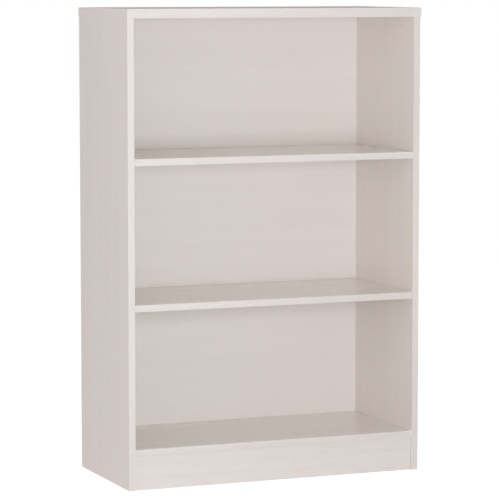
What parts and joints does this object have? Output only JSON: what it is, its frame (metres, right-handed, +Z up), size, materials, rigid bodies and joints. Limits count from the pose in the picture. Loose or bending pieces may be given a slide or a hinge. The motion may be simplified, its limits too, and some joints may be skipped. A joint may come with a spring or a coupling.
{
  "type": "bookcase",
  "caption": "Open flat-pack bookcase with loose shelves on pins, a bottom panel over a front plinth board, a thicker top and a grooved-in back.",
  "frame": {"origin": "on the floor, under the middle of the top panel: the bottom centre of the bounding box", "axes": "+X across the front to the viewer's right, +Y from the open front to the back, +Z up"},
  "size_m": [0.741, 0.346, 1.112],
  "materials": {
    "melamine_board": "satin pearl-white melamine with a faint wood grain",
    "edge_band": "satin pearl-white",
    "back_board": "pearl-white laminate in front, bare fibreboard behind",
    "plated_steel": "nickel-plated",
    "cast_zinc": "die-cast, dull",
    "cap_plastic": "satin pearl-white",
    "beech": "bare"
  },
  "bodies": {
    "case": {"left_side_panel": "melamine_board", "right_side_panel": "melamine_board", "top_panel": "melamine_board", "bottom_panel": "melamine_board", "plinth_board": "melamine_board", "back_panel": "back_board", "left_side_edge_band": "edge_band", "right_side_edge_band": "edge_band", "top_front_edge_band": "edge_band", "top_left_edge_band": "edge_band", "top_right_edge_band": "edge_band", "bottom_edge_band": "edge_band", "top_cam_bolts": "plated_steel", "top_cam_locks": "cast_zinc", "top_cam_caps": "cap_plastic", "bottom_cam_bolts": "plated_steel", "bottom_cam_locks": "cast_zinc", "bottom_dowels": "beech", "plinth_end_dowels": "beech", "plinth_top_dowels": "beech", "upper_shelf_pins": "plated_steel", "lower_shelf_pins": "plated_steel"},
    "lower_shelf": {"lower_shelf": "melamine_board", "lower_shelf_edge_band": "edge_band"},
    "upper_shelf": {"upper_shelf": "melamine_board", "upper_shelf_edge_band": "edge_band"}
  },
  "joints": [
    {"name": "lower_shelf_slide", "type": "slide", "parent": "case", "child": "lower_shelf", "axis": [0, -1, 0], "range_m": [0, 0.285]},
    {"name": "upper_shelf_slide", "type": "slide", "parent": "case", "child": "upper_shelf", "axis": [0, -1, 0], "range_m": [0, 0.285]}
  ]
}
